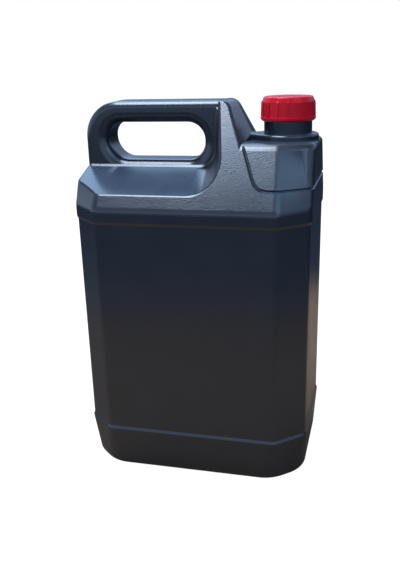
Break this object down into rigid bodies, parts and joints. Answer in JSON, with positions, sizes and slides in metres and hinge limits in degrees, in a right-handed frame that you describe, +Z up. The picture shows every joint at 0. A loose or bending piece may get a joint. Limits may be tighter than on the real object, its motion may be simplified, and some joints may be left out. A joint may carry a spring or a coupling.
{
  "type": "plastic jerrycan",
  "caption": "Blow-moulded canister with chamfered corners, a hollow grip above the shoulder, a raised neck tower at one end and a ribbed screw cap.",
  "frame": {"origin": "centre of the base, on the surface that the can stands on", "axes": "+X along the can towards the neck, +Y from the front wall to the back wall, +Z up"},
  "size_m": [0.1862, 0.134, 0.2974],
  "materials": {
    "can": "satin black polyethylene, finely grained on the leaning faces",
    "cap": "glossy moulded red",
    "liner": "white foamed polyethylene"
  },
  "bodies": {
    "can": {"can_body": "can"},
    "seal": {"cap_liner": "liner"},
    "cap": {"screw_cap": "cap"}
  },
  "joints": [
    {"name": "cap_lift", "type": "slide", "parent": "can", "child": "seal", "axis": [0, 0, 1], "range_m": [0, 0.02]},
    {"name": "cap_turn", "type": "hinge", "parent": "seal", "child": "cap", "pos_m": [0.0686, 0, 0.2884], "axis": [0, 0, 1], "range_deg": [0, 1440]}
  ],
  "couplings": [
    {"joint": "cap_lift", "follows": "cap_turn", "m_per_rad": 0.00079577}
  ]
}
